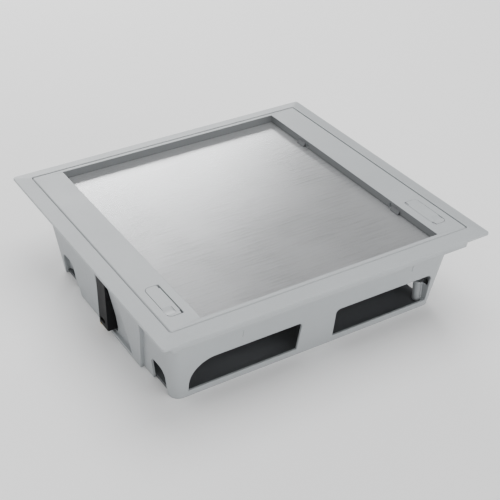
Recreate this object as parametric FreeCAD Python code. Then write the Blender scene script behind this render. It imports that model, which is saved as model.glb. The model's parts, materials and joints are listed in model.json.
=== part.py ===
"""Floor socket box for a raised floor, 302 x 290 mm over its flange, in millimetres.

The origin is the centre of the underside. +X runs along the lid's front edge, +Y from the front edge to the
hinge, +Z up. The floor covering meets the underside of the flange, and everything below it hangs in the floor.
"""
import FreeCAD
import Part
import math
import os

V = FreeCAD.Vector
X_AXIS, Y_AXIS, Z_AXIS = V(1, 0, 0), V(0, 1, 0), V(0, 0, 1)

# ---- driving dimensions ------------------------------------------------------------------------------------
# Frame
flange_length = 302.0          # along X
flange_depth = 290.0           # along Y
total_height = 86.5            # underside to lid plane
flange_margin = 12.6           # flange edge to the lid opening
flange_drop = 2.2              # fall of the flange's top from the opening to its edge
flange_edge = 2.4              # thickness of the flange's outer edge
flange_corner = 2.5
flange_land = 0.6              # flat strip beside the lid opening
skirt_wall = 2.2
skirt_depth = 16.0             # lid plane to the skirt's lower edge
ledge_width = 5.0
ledge_thickness = 3.2
gusset_margin = 5.3            # frame screw axis to the edge of its pad

# Clearances
lid_gap = 0.6
seat_gap = 0.3                 # between pieces that rest on each other across a joint
plate_gap = 0.3
running_gap = 0.05             # radial, round a pin or screw that turns
flap_gap = 0.4

# Box body
wall = 2.2
base_length = 253.8            # outside, at the underside
base_depth = 218.4
top_length = 267.0             # outside, under the skirt
top_depth = 247.0
body_corner = 9.0
rim_height = 2.5
rim_inset = 1.0                # rim edge behind the skirt's outer face
window_sill = 6.5
window_top = 37.0
window_post = 33.5             # between the two windows of a wall
post_offset = 3.75             # post's middle to the wall's middle
swept_end = 12.4               # left window's edge to the corner, at the underside
swept_radius = 22.0            # of the left window's outer top corner
square_end = 7.9               # right window's edge to the corner
square_radius = 5.5            # of the right window's outer top corner
window_nick = 4.0              # radius of the inner top corners
window_lean = 1.0              # slant of the inner edge
arch_near = 10.0               # side arch to the corner, at the underside
arch_length = 24.0
arch_height = 23.5
arch_corner = 8.0
panel_proud = 3.4              # middle panel of a side wall
panel_length_top = 140.0       # along Y, at panel_top
panel_length_base = 116.0
panel_top = 45.0               # where the panel's end ridges begin
scoop_radius = 90.0
scoop_depth = 3.6
scoop_height = 46.0
scoop_sill = 4.0
scoop_offset = 16.0            # deepest line of the scoop, in front of the centre
scoop_end = 12.0               # scoop's top below the body's top

# Base plate
base_thickness = 3.0
base_gap = 0.2
column_radius = 4.5
column_gap = 0.4               # screw column to the windows' and arches' cuts
column_height = 20.0
column_inset = 8.5             # base screw axis to the outside walls
boss_length = 22.0             # frame screw bosses, down from the body's top
boss_inset = 8.7
pilot_radius = 1.7
pilot_depth = 14.0
fixing_spacing_x = 120.0       # holes for screws into the sub-floor
fixing_spacing_y = 60.0
fixing_radius = 2.25

# Floor clamps
claw_length = 21.0             # along the wall
claw_thickness = 11.5
claw_base = 7.8                # claw's underside above the box's underside
claw_face = 136.25             # claw's outer face to the centre plane
claw_slot_length = 9.0
claw_slot_height = 4.0
claw_slot_depth = 3.0
claw_roof_gap = 0.7            # raised claw to the pocket's roof
claw_tooth = 1.2
claw_tooth_pitch = 3.0
claw_heel = 4.0                # chamfer of the claw's inner tip
clamp_travel = 11.0
clamp_screw_radius = 2.5
clamp_head_radius = 4.5
clamp_head_height = 3.0
clamp_head_bevel = 0.8
nut_barrel_radius = 4.0
nut_barrel_length = 13.0
nut_flange_radius = 5.5
nut_flange = 1.5
pocket_floor = 3.5
pocket_web = 2.0
pocket_side_gap = 0.6
pocket_swing_gap = 0.4

# Lid
lid_thickness = 11.0
recess_length = 220.5
recess_width = 255.4
recess_depth = 7.4             # down to the tray plate
tray_thickness = 1.5
lid_chamfer = 1.0
lid_heel = 5.0                 # chamfer under the lid's hinge edge
rim_wall = 2.4
rib_thickness = 1.8
rib_depth = 5.0
rib_pitch = 50.0
rib_length = 208.0
rib_width = 216.0
hinge_back = 6.0               # hinge axis to the lid's back edge
hinge_drop = 2.5               # hinge axis below the lid plane
hinge_pin_radius = 1.25
hinge_pin_hold = 8.0           # length in the lid
hinge_pin_reach = 4.0          # length in the frame
seal_thickness = 1.4
seal_width = 4.0
clip_spacing = 145.0           # plate clips along Y
clip_length = 11.0
clip_height = 4.0
clip_nose = 2.5
clip_slot_length = 3.6
clip_slot_depth = 1.6

# Cable flaps
flap_length = 42.0             # slot length along Y
flap_front = 30.0              # slot's front end to the flange edge
flap_width = 12.85             # slot width
flap_inboard = 117.7           # slot's inboard edge to the centre plane
flap_thickness = 2.5
flap_corner = 4.5              # outboard corners of the slot
flap_heel = 0.8                # inboard corners of the slot
flap_knuckle = 1.5
flap_pin_radius = 0.8
flap_pin_hold = 4.0
flap_ledge = 1.1
flap_dish_radius = 14.0         # finger dish at the flap's front end
flap_dish_depth = 0.8
flap_dish_inset = 7.5
flap_dish_land = 2.5

# Module carriers
carrier_face = 44.0            # carrier's front face to the centre plane
carrier_thickness = 2.0
carrier_length = 206.0
carrier_gap = 2.5              # carrier's upper edge to the lid's ribs
carrier_height = 54.0
carrier_foot = 18.0
carrier_web = 12.0             # end web's tip below the carrier's upper edge
carrier_lip = 4.8              # carrier's lower edge to its opening
carrier_screw_inset = 6.0      # carrier screw axis to the carrier's end
carrier_screw_set = 12.0       # and behind the carrier's face
post_size = 9.0                # square posts that carry the carriers
module_size = 45.0
module_count = 4
module_gap = 0.2
bezel_height = 49.0
bezel_thickness = 2.0
bezel_corner = 1.5
body_gap = 0.15                # module housing to the sides of the carrier's opening

# Socket modules
socket_depth = 36.0
well_radius = 19.5
well_depth = 17.5
well_bevel = 0.8
well_groove_height = 4.4       # guide grooves at the well's sides
well_groove_depth = 1.2
well_groove_length = 11.0
contact_pitch = 19.0
contact_hole_radius = 2.6
contact_depth = 14.0
contact_sheet = 0.6            # thickness of the folded contact springs
contact_size = 6.4             # square chamber behind each hole
contact_skin = 1.5             # well floor in front of the chamber
contact_grip = 3.4             # between a spring's leaves
earth_thickness = 1.2
earth_length = 13.0
earth_belly = 2.2              # tongue's spring bulge into the well
earth_side_gap = 0.3
notch_width = 6.0
notch_depth = 1.6
jack_pitch = 21.0
jack_width = 15.0
jack_height = 17.0
jack_depth = 20.0
jack_mouth_width = 11.8
jack_mouth_height = 7.0
jack_mouth_depth = 13.0
jack_latch_width = 6.2
jack_latch_height = 3.2
jack_sink = 0.8                # jack's face behind the cover's
data_depth = 12.0
blank_wall = 1.8

# Earth terminal
bar_length = 24.0
bar_width = 9.0
bar_height = 9.0
bar_holes = 2
bar_hole_radius = 2.2
bar_seat = 3.0
bar_screw_radius = 1.8
bar_screw_shank = 3.5
bar_screw_head = 1.6
bar_screw_head_radius = 2.8
bar_way_height = 3.6           # wire way's axis above the bar's underside

# Screws
screw_radius = 1.7
screw_head_radius = 3.2
screw_head_height = 2.0
screw_length = 12.0            # under the head's flat
carrier_screw_length = 6.0
screw_tip_gap = 1.0            # screw's tip to the end of its hole
drive_arm = 2.2                # cross recess of the screws
drive_width = 0.9
drive_drop = 1.2

# ---- places worked out from the sizes -----------------------------------------------------------------------
top = total_height
open_x = flange_length / 2 - flange_margin          # half sizes of the lid opening
open_y = flange_depth / 2 - flange_margin
skirt_bottom = top - skirt_depth
ledge_top = skirt_bottom + ledge_thickness
flange_under = top - flange_drop - flange_edge
lid_x, lid_y = open_x - lid_gap, open_y - lid_gap
lid_bottom = top - lid_thickness
tray_seat = top - recess_depth - tray_thickness
hinge_y = lid_y - hinge_back
hinge_z = top - hinge_drop
body_top = skirt_bottom
claw_radius = claw_thickness / 2
clamp_x = claw_face - claw_radius
clamp_y = claw_length / 2 - claw_radius
pocket_roof = body_top - pocket_web
claw_height = pocket_roof - claw_roof_gap - clamp_travel - claw_base
pocket_back = clamp_x - claw_radius - pocket_side_gap
flap_axis_x = flap_inboard + flap_gap + flap_knuckle
flap_axis_z = top - flap_knuckle
flap_y = -flange_depth / 2 + flap_front + flap_length / 2
clear_radius = screw_radius + running_gap
frame_screw_x = top_length / 2 - boss_inset
frame_screw_y = top_depth / 2 - boss_inset
frame_screw_z = ledge_top - screw_head_height
base_screw_z = screw_head_height
base_screw_x = base_length / 2 - column_inset
base_screw_y = base_depth / 2 - column_inset
module_span = module_count * module_size
carrier_base = lid_bottom - rib_depth - carrier_gap - carrier_height
module_sill = carrier_base + carrier_lip
module_mid = module_sill + module_size / 2
carrier_screw_x = carrier_length / 2 - carrier_screw_inset
carrier_screw_y = carrier_face + carrier_screw_set
carrier_pilot_end = carrier_base + carrier_thickness - carrier_screw_length - screw_tip_gap
CORNERS = [(sx, sy) for sx in (-1, 1) for sy in (-1, 1)]


# ---- helpers ------------------------------------------------------------------------------------------------
def block(x0, x1, y0, y1, z0, z1):
    """A box between two values on each axis, given in either order."""
    lo = V(min(x0, x1), min(y0, y1), min(z0, z1))
    return Part.makeBox(abs(x1 - x0), abs(y1 - y0), abs(z1 - z0), lo)


def rod(radius, start, axis, length):
    return Part.makeCylinder(radius, length, start, axis)


def rounded_wire(half_x, half_y, radius, z, centre=(0.0, 0.0)):
    """A rounded rectangle in a level plane, with its corners as arcs."""
    cx, cy = centre
    edges = []
    spots = [(1, -1, -90), (1, 1, 0), (-1, 1, 90), (-1, -1, 180)]
    ends = []
    for sx, sy, start in spots:
        c = V(cx + sx * (half_x - radius), cy + sy * (half_y - radius), z)
        points = [c + V(radius * math.cos(math.radians(start + a)),
                        radius * math.sin(math.radians(start + a)), 0)
                  for a in (0, 45, 90)]
        ends.append(points)
    for i, points in enumerate(ends):
        edges.append(Part.Arc(*points).toShape())
        edges.append(Part.LineSegment(points[2], ends[(i + 1) % 4][0]).toShape())
    return Part.Wire(edges)


def slab(half_x, half_y, radius, z0, z1, centre=(0.0, 0.0)):
    """A rounded rectangular slab between two heights."""
    return Part.Face(rounded_wire(half_x, half_y, radius, z0, centre)).extrude(V(0, 0, z1 - z0))


def tapered(half_low, half_high, corner, z0, z1):
    """A rounded rectangle that changes size evenly between two heights."""
    low = rounded_wire(half_low[0], half_low[1], corner, z0)
    high = rounded_wire(half_high[0], half_high[1], corner, z1)
    return Part.makeLoft([low, high], True, True)


def tub(inset, corner):
    """The body's tapered form with flat sides, a distance inside its outer faces."""
    low_x, low_y = base_length / 2 - inset, base_depth / 2 - inset
    high_x, high_y = top_length / 2 - inset, top_depth / 2 - inset
    form = Part.makeWedge(-low_x, 0, -low_y, -high_y, -high_x, low_x, body_top, low_y, high_y, high_x)
    form.rotate(V(0, 0, 0), X_AXIS, 90)
    return filleted(form, corner, lambda e: abs(e.Vertexes[0].Z - e.Vertexes[1].Z) > 1)


def prism(points, direction):
    """A straight prism from a closed outline of corner points."""
    return Part.Face(Part.makePolygon(points + [points[0]])).extrude(direction)


def filleted(shape, radius, wanted):
    """Rounds the edges that a test picks."""
    edges = [e for e in shape.Edges if wanted(e)]
    return shape.makeFillet(radius, edges) if edges else shape


def along(edge, axis):
    """Whether a straight edge runs along an axis."""
    if edge.Curve.TypeId != "Part::GeomLine":
        return False
    return abs(edge.tangentAt(edge.FirstParameter).dot(axis)) > 0.999


def mirrored(shape, normal):
    return shape.mirror(V(0, 0, 0), normal)


def half_turn(shape):
    """The back carrier's pieces and the back windows are the front ones turned half round the centre."""
    copy = shape.copy()
    copy.rotate(V(0, 0, 0), Z_AXIS, 180)
    return copy


def fused(shapes):
    """One solid from pieces that overlap or share faces."""
    return shapes[0].fuse(shapes[1:]).removeSplitter() if len(shapes) > 1 else shapes[0]


def save(name, shape):
    """Writes one node as parts/NAME.step, as a compound where it holds several solids."""
    solids = shape.Solids
    out = solids[0] if len(solids) == 1 else Part.makeCompound(solids)
    if not out.isValid():
        print("invalid shape:", name)
    out.exportStep(f"parts/{name}.step")


# ---- fasteners ----------------------------------------------------------------------------------------------
def cross_recess(width, drop, arm):
    """The cut of a cross drive, with its mouth at the origin, downward."""
    one = block(-arm, arm, -width / 2, width / 2, -drop, drop)
    return one.fuse(block(-width / 2, width / 2, -arm, arm, -drop, drop))


def cheese_screw(x, y, z, length, sense):
    """A cheese-head screw whose shank starts at z and points down or up."""
    start = V(x, y, z)
    axis = V(0, 0, sense)
    head = rod(screw_head_radius, start, axis * -1, screw_head_height)
    shank = rod(screw_radius, start, axis, length)
    cross = cross_recess(drive_width, drive_drop, drive_arm)
    cross.translate(start - axis * screw_head_height)
    return fused([head, shank]).cut(cross)


def counterbore(x, y, z, sense):
    """The hole and head seat for a cheese-head screw whose shank starts at z."""
    axis = V(0, 0, sense)
    seat = rod(screw_head_radius + seat_gap, V(x, y, z), axis * -1, screw_head_height + 1)
    return seat.fuse(rod(clear_radius, V(x, y, z) - axis, axis, screw_length))


# ---- frame --------------------------------------------------------------------------------------------------
def floor_frame():
    """Flange that slopes out from the lid opening, skirt, lid ledge and screw pads."""
    half_x, half_y = flange_length / 2, flange_depth / 2
    edge = slab(half_x, half_y, flange_corner, flange_under, flange_under + flange_edge)
    slope = tapered((half_x, half_y), (open_x + flange_land, open_y + flange_land), flange_corner,
                    flange_under + flange_edge, top)
    skirt = slab(open_x + skirt_wall, open_y + skirt_wall, flange_corner + skirt_wall, skirt_bottom,
                 flange_under + 1)
    frame = fused([edge, slope, skirt])
    frame = frame.cut(slab(open_x, open_y, flange_corner, ledge_top, top + 1))
    frame = frame.cut(slab(open_x - ledge_width, open_y - ledge_width, flange_corner, skirt_bottom - 1, top))
    pads = []
    for sx, sy in CORNERS:
        pad = block(sx * (frame_screw_x - gusset_margin), sx * (open_x - ledge_width / 2),
                    sy * (frame_screw_y - gusset_margin), sy * (open_y - ledge_width / 2), skirt_bottom, ledge_top)
        inner = V(sx * (frame_screw_x - gusset_margin), sy * (frame_screw_y - gusset_margin), 0)
        pads.append(filleted(pad, gusset_margin - 0.5, lambda e: along(e, Z_AXIS)
                             and math.hypot(e.CenterOfMass.x - inner.x, e.CenterOfMass.y - inner.y) < 0.1))
    frame = fused([frame] + pads)
    for sx, sy in CORNERS:
        frame = frame.cut(counterbore(sx * frame_screw_x, sy * frame_screw_y, frame_screw_z, -1))
    for side in (-1, 1):
        pin_hole = rod(hinge_pin_radius + running_gap, V(side * (open_x - 1), hinge_y, hinge_z),
                       V(side, 0, 0), hinge_pin_reach + lid_gap + 1.5)
        head_room = rod(clamp_head_radius + 1, V(side * clamp_x, clamp_y, skirt_bottom - 1), Z_AXIS,
                        skirt_depth)
        frame = frame.cut(pin_hole).cut(head_room)
    return frame


# ---- body ---------------------------------------------------------------------------------------------------
def window_cut(inner, outer, sweep):
    """One window of the front wall, from its edge at the post to its edge near the corner."""
    sense = 1 if outer > inner else -1
    z0, z1 = window_sill, window_top
    nick = window_nick
    half = math.sqrt(0.5)

    def at(x, inward, z):
        return V(x + sense * inward, 0, z)

    start = at(inner, window_lean, z0)
    low = at(outer, 0, z0)
    rise = at(outer, 0, z1 - sweep)
    bend = at(outer, -sweep * (1 - half), z1 - sweep * (1 - half))
    flat = at(outer, -sweep, z1)
    near = at(inner, nick, z1)
    turn = at(inner, nick * (1 - half), z1 - nick * (1 - half))
    drop = at(inner, 0, z1 - nick)
    edges = [Part.LineSegment(start, low), Part.LineSegment(low, rise), Part.Arc(rise, bend, flat),
             Part.LineSegment(flat, near), Part.Arc(near, turn, drop), Part.LineSegment(drop, start)]
    face = Part.Face(Part.Wire([e.toShape() for e in edges]))
    face.translate(V(0, -base_screw_y - column_radius - column_gap, 0))
    return face.extrude(V(0, -top_depth, 0))


def front_windows():
    """The swept window on the left and the square one on the right of the post."""
    left = window_cut(post_offset - window_post / 2, swept_end - base_length / 2, swept_radius)
    right = window_cut(post_offset + window_post / 2, base_length / 2 - square_end, square_radius)
    return [left, right]


def arch_cut(side_x, side_y):
    """One arch of a side wall, open at the underside and clear of the base screw's column."""
    y1 = base_depth / 2 - arch_near
    y0 = y1 - arch_length
    body = block(base_screw_x + column_radius + column_gap, top_length, y0, y1, -1, arch_height)
    body = filleted(body, arch_corner, lambda e: along(e, X_AXIS) and e.CenterOfMass.z > arch_height - 0.1)
    body = body if side_x > 0 else mirrored(body, X_AXIS)
    return body if side_y > 0 else mirrored(body, Y_AXIS)


def side_panel():
    """The proud middle panel of the right wall, wider at its top, before it is hollowed."""
    low, high = base_length / 2, top_length / 2
    profile = [V(low - wall, 0, 0), V(low + panel_proud, 0, 0), V(high + panel_proud, 0, body_top),
               V(high - wall, 0, body_top)]
    panel = prism(profile, V(0, top_depth, 0))
    panel.translate(V(0, -top_depth / 2, 0))
    base, wide = panel_length_base / 2, panel_length_top / 2
    outline = [V(0, -base, -1), V(0, base, -1), V(0, wide, panel_top), V(0, wide, body_top + 1),
               V(0, -wide, body_top + 1), V(0, -wide, panel_top)]
    return panel.common(prism(outline, V(top_length, 0, 0)))


def side_scoop():
    """Finger scoop beside the claw: a large leaning cylinder, deepest at its foot."""
    surface = base_length / 2 + panel_proud
    rise = scoop_height - scoop_sill
    taper = (top_length - base_length) / 2 / body_top
    lean = math.atan2(scoop_depth / rise + taper, 1.0)
    foot = V(surface - scoop_depth + scoop_radius + taper * scoop_sill, -scoop_offset, scoop_sill)
    axis = V(math.sin(lean), 0, math.cos(lean))
    cylinder = rod(scoop_radius, foot - axis * total_height, axis, 3 * total_height)
    return cylinder.common(block(0, 3 * scoop_radius, -top_depth, top_depth, scoop_sill,
                                 body_top - scoop_end))


def pocket_void():
    """Room in the right wall for the claw, its nut and its swing."""
    tip = math.hypot(claw_radius, claw_length - claw_radius)
    y0 = clamp_y - tip - pocket_swing_gap
    y1 = clamp_y + claw_radius + pocket_side_gap
    return block(pocket_back, top_length, y0, y1, pocket_floor + pocket_web, pocket_roof)


def pocket_shell():
    """The box of web round that room, inside the wall."""
    tip = math.hypot(claw_radius, claw_length - claw_radius)
    y0 = clamp_y - tip - pocket_swing_gap - pocket_web
    y1 = clamp_y + claw_radius + pocket_side_gap + pocket_web
    return block(pocket_back - pocket_web, base_length / 2 + 1, y0, y1, pocket_floor, body_top)


def corner_column(sx, sy):
    """Column for a base screw, tied to both walls by webs."""
    x, y = sx * base_screw_x, sy * base_screw_y
    z0, z1 = base_thickness, base_thickness + column_height
    reach = 2 * column_inset
    parts = [rod(column_radius, V(x, y, z0), Z_AXIS, column_height),
             block(x, x + sx * reach, y - wall / 2, y + wall / 2, z0, z1),
             block(x - wall / 2, x + wall / 2, y, y + sy * reach, z0, z1)]
    return fused(parts).cut(rod(pilot_radius, V(x, y, z0 - 1), Z_AXIS, pilot_depth + 1))


def corner_boss(sx, sy):
    """Boss for a frame screw under the body's top, tied to both walls by webs."""
    x, y = sx * frame_screw_x, sy * frame_screw_y
    z0 = body_top - boss_length
    reach = 2 * boss_inset
    parts = [rod(column_radius, V(x, y, z0), Z_AXIS, boss_length),
             block(x, x + sx * reach, y - wall / 2, y + wall / 2, z0, body_top),
             block(x - wall / 2, x + wall / 2, y, y + sy * reach, z0, body_top)]
    return fused(parts).cut(rod(pilot_radius, V(x, y, body_top - pilot_depth), Z_AXIS, pilot_depth + 1))


def box_body():
    """Tapered shell with windows, arches, proud side panels, claw pockets and screw bosses."""
    outer = tub(0, body_corner)
    inner = tub(wall, body_corner - wall)
    rim = slab(open_x + skirt_wall - rim_inset, open_y + skirt_wall - rim_inset, flange_corner,
               body_top - rim_height, body_top)
    panel = side_panel().cut(side_scoop())
    shell = fused([outer, rim, panel, mirrored(panel, X_AXIS)]).cut(inner)
    middle = tub(wall / 4, body_corner)
    extras = [pocket_shell(), mirrored(pocket_shell(), X_AXIS)]
    for sx, sy in CORNERS:
        extras.append(corner_column(sx, sy).common(middle))
        extras.append(corner_boss(sx, sy).common(middle))
    shell = fused([shell] + extras)
    for side in (-1, 1):
        void = pocket_void() if side > 0 else mirrored(pocket_void(), X_AXIS)
        shaft = rod(clamp_screw_radius + running_gap, V(side * clamp_x, clamp_y, pocket_floor - 1), Z_AXIS,
                    body_top)
        shell = shell.cut(void).cut(shaft)
    for window in front_windows():
        shell = shell.cut(window).cut(half_turn(window))
    for sx, sy in CORNERS:
        shell = shell.cut(arch_cut(sx, sy))
    return shell


def base_plate():
    """Dark floor of the box, with screw holes, carrier posts, terminal seat and fixing holes."""
    half = (base_length / 2 - wall - base_gap, base_depth / 2 - wall - base_gap)
    plate = slab(half[0], half[1], body_corner - wall, 0, base_thickness)
    posts = [block(sx * carrier_screw_x - post_size / 2, sx * carrier_screw_x + post_size / 2,
                   sy * carrier_screw_y - post_size / 2, sy * carrier_screw_y + post_size / 2, 0, carrier_base)
             for sx, sy in CORNERS]
    seat = block(-bar_length / 2, bar_length / 2, -bar_width / 2, bar_width / 2, 0, base_thickness + bar_seat)
    plate = fused([plate, seat] + posts)
    for sx, sy in CORNERS:
        plate = plate.cut(counterbore(sx * base_screw_x, sy * base_screw_y, base_screw_z, 1))
        plate = plate.cut(rod(fixing_radius, V(sx * fixing_spacing_x / 2, sy * fixing_spacing_y / 2, -1),
                              Z_AXIS,
                              base_thickness + 2))
        plate = plate.cut(rod(pilot_radius, V(sx * carrier_screw_x, sy * carrier_screw_y, carrier_pilot_end),
                              Z_AXIS, carrier_base))
    return plate


# ---- floor clamps -------------------------------------------------------------------------------------------
def clamp_claw():
    """Right-hand claw: a tall block, round at the screw, that swings out of its pocket."""
    z0 = claw_base
    tip_y = clamp_y + claw_radius - claw_length
    claw = rod(claw_radius, V(clamp_x, clamp_y, z0), Z_AXIS, claw_height)
    claw = claw.fuse(block(clamp_x - claw_radius, clamp_x + claw_radius, tip_y, clamp_y, z0,
                           z0 + claw_height))
    claw = claw.removeSplitter()
    face = clamp_x + claw_radius
    slot = block(face - claw_slot_depth, face + 1, -claw_slot_length / 2 - 1, claw_slot_length / 2 - 1,
                 z0 + 4, z0 + 4 + claw_slot_height)
    claw = claw.cut(slot)
    barrel = rod(nut_barrel_radius + running_gap, V(clamp_x, clamp_y, z0 - 1), Z_AXIS, nut_barrel_length + 1)
    shaft = rod(clamp_screw_radius + 0.5, V(clamp_x, clamp_y, z0 - 1), Z_AXIS, claw_height + 2)
    claw = claw.cut(barrel).cut(shaft)
    for k in range(3):
        y = tip_y + claw_tooth + claw_tooth_pitch * k
        groove = prism([V(0, y, z0 + claw_height + 0.01),
                        V(0, y + 2 * claw_tooth_pitch / 3, z0 + claw_height + 0.01),
                        V(0, y + claw_tooth_pitch / 3, z0 + claw_height - claw_tooth)], V(top_length, 0, 0))
        claw = claw.cut(groove)
    back = clamp_x - claw_radius
    chamfer = prism([V(back - 1, tip_y - 1, z0 - 1), V(back + claw_heel - 1, tip_y - 1, z0 - 1),
                     V(back - 1, tip_y + claw_heel - 1, z0 - 1)], V(0, 0, claw_height + 2))
    return claw.cut(chamfer)


def clamp_nut():
    """Flanged brass bush that the screw drives and the claw swings on."""
    z1 = claw_base - seat_gap
    nut = rod(nut_flange_radius, V(clamp_x, clamp_y, z1 - nut_flange), Z_AXIS, nut_flange)
    nut = nut.fuse(rod(nut_barrel_radius, V(clamp_x, clamp_y, z1), Z_AXIS, nut_barrel_length))
    return nut.cut(rod(clamp_screw_radius + running_gap, V(clamp_x, clamp_y, 0), Z_AXIS,
                       body_top)).removeSplitter()


def clamp_screw():
    """Long pan-head screw on the pocket's roof."""
    foot = pocket_floor + 0.7
    shank = rod(clamp_screw_radius, V(clamp_x, clamp_y, foot), Z_AXIS, body_top - foot + 0.5)
    head = rod(clamp_head_radius, V(clamp_x, clamp_y, body_top), Z_AXIS, clamp_head_height)
    head = head.makeChamfer(clamp_head_bevel, [e for e in head.Edges if e.CenterOfMass.z > body_top + 0.1
                                               and e.Closed])
    cross = cross_recess(1.2 * drive_width, 1.5 * drive_drop, 1.2 * drive_arm)
    cross.translate(V(clamp_x, clamp_y, body_top + clamp_head_height))
    return fused([head, shank]).cut(cross)


# ---- lid ----------------------------------------------------------------------------------------------------
def flap_form(x0, x1, half_y, heel, corner, z0, z1):
    """A slab with small corners inboard and larger ones outboard."""
    form = block(x0, x1, flap_y - half_y, flap_y + half_y, z0, z1)
    form = filleted(form, heel, lambda e: along(e, Z_AXIS) and e.CenterOfMass.x < x0 + 0.01)
    return filleted(form, corner, lambda e: along(e, Z_AXIS) and e.CenterOfMass.x > x1 - 0.01)


def flap_slot():
    """Cable slot through the right rim of the lid, with a rest ledge along its outboard edge."""
    x0, x1 = flap_inboard, flap_inboard + flap_width
    mouth = flap_form(x0, x1, flap_length / 2, flap_heel, flap_corner, top - flap_thickness - seat_gap,
                      top + 1)
    throat = flap_form(x0, x1 - flap_ledge, flap_length / 2 - flap_ledge, flap_heel, flap_corner - flap_ledge,
                       lid_bottom - 1, top)
    return mouth.fuse(throat)


def cable_flap():
    """Right cable flap: a thin cover that turns about a pin along its inboard edge."""
    x0 = flap_axis_x
    x1 = flap_inboard + flap_width - flap_gap
    half_y = flap_length / 2 - flap_gap
    plate = flap_form(x0, x1, half_y, flap_heel + flap_gap, flap_corner - flap_gap, top - flap_thickness, top)
    knuckle_half = half_y - flap_corner
    knuckle = rod(flap_knuckle, V(flap_axis_x, flap_y - knuckle_half, flap_axis_z), Y_AXIS, 2 * knuckle_half)
    flap = fused([plate, knuckle])
    bore = rod(flap_pin_radius + running_gap, V(flap_axis_x, flap_y - half_y - 1, flap_axis_z), Y_AXIS,
               2 * half_y + 2)
    dish = rod(flap_dish_radius, V(x0 + flap_dish_land, flap_y - half_y + flap_dish_inset,
                                   top + flap_dish_radius - flap_dish_depth), X_AXIS, flap_width)
    return flap.cut(bore).cut(dish)


def flap_pin():
    length = flap_length + 2 * flap_pin_hold
    return rod(flap_pin_radius, V(flap_axis_x, flap_y - length / 2, flap_axis_z), Y_AXIS, length)


def clip_spots():
    """Side and place along Y of each plate clip."""
    return [(side, k * clip_spacing / 2) for side in (-1, 1) for k in (-1, 1)]


def clip_pocket(side, y):
    """Seat for a clip in the recess wall, with the release slot beside it."""
    x = side * recess_length / 2
    z0 = tray_seat + tray_thickness
    towards = -1 if y > 0 else 1
    seat = block(x - side * 1, x + side * clip_slot_depth, y - clip_length / 2, y + clip_length / 2,
                 z0, z0 + clip_height)
    slot_y = y + towards * (clip_length / 2 + 1.2)
    slot = block(x - side * 1, x + side * (clip_slot_depth + 1.5), slot_y,
                 slot_y + towards * clip_slot_length,
                 z0, z0 + clip_height + 0.6)
    return seat.fuse(slot)


def plate_clip(side, y):
    """Small wedge whose nose holds the tray plate down."""
    x = side * recess_length / 2
    z0 = tray_seat + tray_thickness
    back = x + side * clip_slot_depth
    nose = x - side * clip_nose
    points = [V(back, 0, z0), V(nose, 0, z0), V(nose, 0, z0 + 0.8), V(x, 0, z0 + clip_height - 0.2),
              V(back, 0, z0 + clip_height - 0.2)]
    clip = prism(points, V(0, clip_length - 0.2, 0))
    clip.translate(V(0, y - clip_length / 2 + 0.1, 0))
    return clip


def lid_frame():
    """Moulded lid: a tray for the plate and covering, hollow side rims, ribs below and a relieved hinge edge."""
    lid = slab(lid_x, lid_y, flange_corner - 0.5, lid_bottom, top)
    lid = lid.makeChamfer(lid_chamfer, [e for e in lid.Edges if abs(e.CenterOfMass.z - top) < 0.01])
    heel = prism([V(0, lid_y + 1, lid_bottom - 1), V(0, lid_y + 1, lid_bottom + lid_heel + 1),
                  V(0, lid_y - lid_heel - 1, lid_bottom - 1)], V(2 * lid_x + 2, 0, 0))
    heel.translate(V(-lid_x - 1, 0, 0))
    lid = lid.cut(heel)
    lid = lid.cut(slab(recess_length / 2, recess_width / 2, 1.0, tray_seat, top + 1))
    hollow_x0 = recess_length / 2 + rim_wall + clip_slot_depth
    hollow_x1 = lid_x - rim_wall
    for side in (-1, 1):
        spans = [(flap_y + flap_length / 2 + rim_wall, hinge_y - hinge_back - 2),
                 (-lid_y + rim_wall + 2, flap_y - flap_length / 2 - rim_wall)]
        for y0, y1 in spans:
            lid = lid.cut(block(side * hollow_x0, side * hollow_x1, y0, y1, lid_bottom - 1, top - rim_wall))
        slot = flap_slot() if side > 0 else mirrored(flap_slot(), X_AXIS)
        pin_way = rod(flap_pin_radius, V(side * flap_axis_x, flap_y - flap_length / 2 - flap_pin_hold,
                                         flap_axis_z),
                      Y_AXIS, flap_length + 2 * flap_pin_hold)
        hinge_way = rod(hinge_pin_radius, V(side * (lid_x - hinge_pin_hold), hinge_y, hinge_z),
                        V(side, 0, 0), hinge_pin_hold + 1)
        lid = lid.cut(slot).cut(pin_way).cut(hinge_way)
    for side, y in clip_spots():
        lid = lid.cut(clip_pocket(side, y))
    ribs = []
    count = int(rib_length // rib_pitch)
    for k in range(count + 1):
        x = (k - count / 2) * rib_pitch
        ribs.append(block(x - rib_thickness / 2, x + rib_thickness / 2, -rib_width / 2, rib_width / 2,
                          lid_bottom - rib_depth, lid_bottom + 0.5))
        ribs.append(block(-rib_length / 2, rib_length / 2, x - rib_thickness / 2, x + rib_thickness / 2,
                          lid_bottom - rib_depth, lid_bottom + 0.5))
    return fused([lid] + ribs)


def lid_plate():
    """Satin steel tray plate in the lid's recess."""
    return slab(recess_length / 2 - plate_gap, recess_width / 2 - plate_gap, 0.8, tray_seat,
                tray_seat + tray_thickness)


def lid_hinge_pins():
    pins = [rod(hinge_pin_radius, V(side * (lid_x - hinge_pin_hold), hinge_y, hinge_z), V(side, 0, 0),
                hinge_pin_hold + lid_gap + hinge_pin_reach) for side in (-1, 1)]
    return Part.makeCompound(pins)


def lid_seal():
    """Soft strip on the ledge, all round."""
    out_x, out_y = open_x - 0.4, open_y - 0.4
    z0, z1 = ledge_top, ledge_top + seal_thickness
    ring = slab(out_x, out_y, flange_corner, z0, z1)
    return ring.cut(slab(out_x - seal_width, out_y - seal_width, 1.0, z0 - 1, z1 + 1))


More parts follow.
